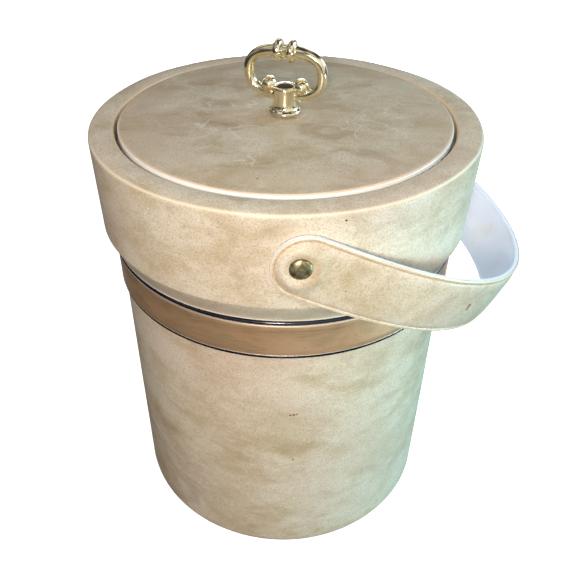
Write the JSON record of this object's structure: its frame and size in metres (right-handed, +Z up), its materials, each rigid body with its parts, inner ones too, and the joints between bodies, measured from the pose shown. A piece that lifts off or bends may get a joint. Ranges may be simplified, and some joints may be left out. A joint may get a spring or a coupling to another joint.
{
  "type": "ice bucket",
  "caption": "Round insulated ice bucket with a wide padded collar, lift-off lid with a plated ring knob, metal trim band and a riveted swinging strap handle.",
  "frame": {"origin": "centre of the base, on the surface that the bucket stands on", "axes": "+Z up along the drum's axis, the two handle rivets lie along Y, and the strap hangs towards +X at rest"},
  "size_m": [0.2306, 0.2136, 0.2799],
  "materials": {
    "body_vinyl": "mottled tan leather-grain vinyl, soft gloss",
    "fibreboard": "bare grey-brown board",
    "insulating_foam": "open foam",
    "white_plastic": "glossy moulded white",
    "white_vinyl": "smooth white lining sheet",
    "bronze_band": "brushed along the band, lacquered",
    "navy_trim": "glossy dark bead",
    "antique_brass": "aged, hammered look",
    "gold_plate": "bright pale gold plate",
    "zinc_steel": "zinc plated"
  },
  "bodies": {
    "root": {"base_cover": "body_vinyl", "base_disc": "fibreboard", "drum_tube": "fibreboard", "drum_vinyl_wrap": "body_vinyl", "drum_insulation": "insulating_foam", "inner_liner": "white_plastic", "metal_band": "bronze_band", "upper_trim_bead": "navy_trim", "lower_trim_line": "navy_trim", "collar_lower_spacer": "fibreboard", "collar_upper_spacer": "fibreboard", "collar_hoop": "fibreboard", "collar_top_ring": "fibreboard", "collar_pad": "insulating_foam", "collar_vinyl_cover": "body_vinyl", "front_rivet": "antique_brass", "rear_rivet": "antique_brass", "front_rivet_washer": "zinc_steel", "rear_rivet_washer": "zinc_steel"},
    "handle": {"strap_cover": "body_vinyl", "strap_core": "fibreboard", "strap_lining": "white_vinyl"},
    "lid": {"lid_shell": "white_plastic", "lid_insulation": "insulating_foam", "lid_board": "fibreboard", "lid_pad": "insulating_foam", "lid_vinyl_top": "body_vinyl", "knob_post": "gold_plate", "knob_ring": "gold_plate", "knob_screw": "zinc_steel", "knob_washer": "zinc_steel"}
  },
  "joints": [
    {"name": "handle_swing", "type": "hinge", "parent": "root", "child": "handle", "pos_m": [0, 0, 0.218], "axis": [0, 1, 0], "range_deg": [-243, 13]},
    {"name": "lid_lift", "type": "slide", "parent": "root", "child": "lid", "axis": [0, 0, 1], "range_m": [0, 0.05]}
  ]
}
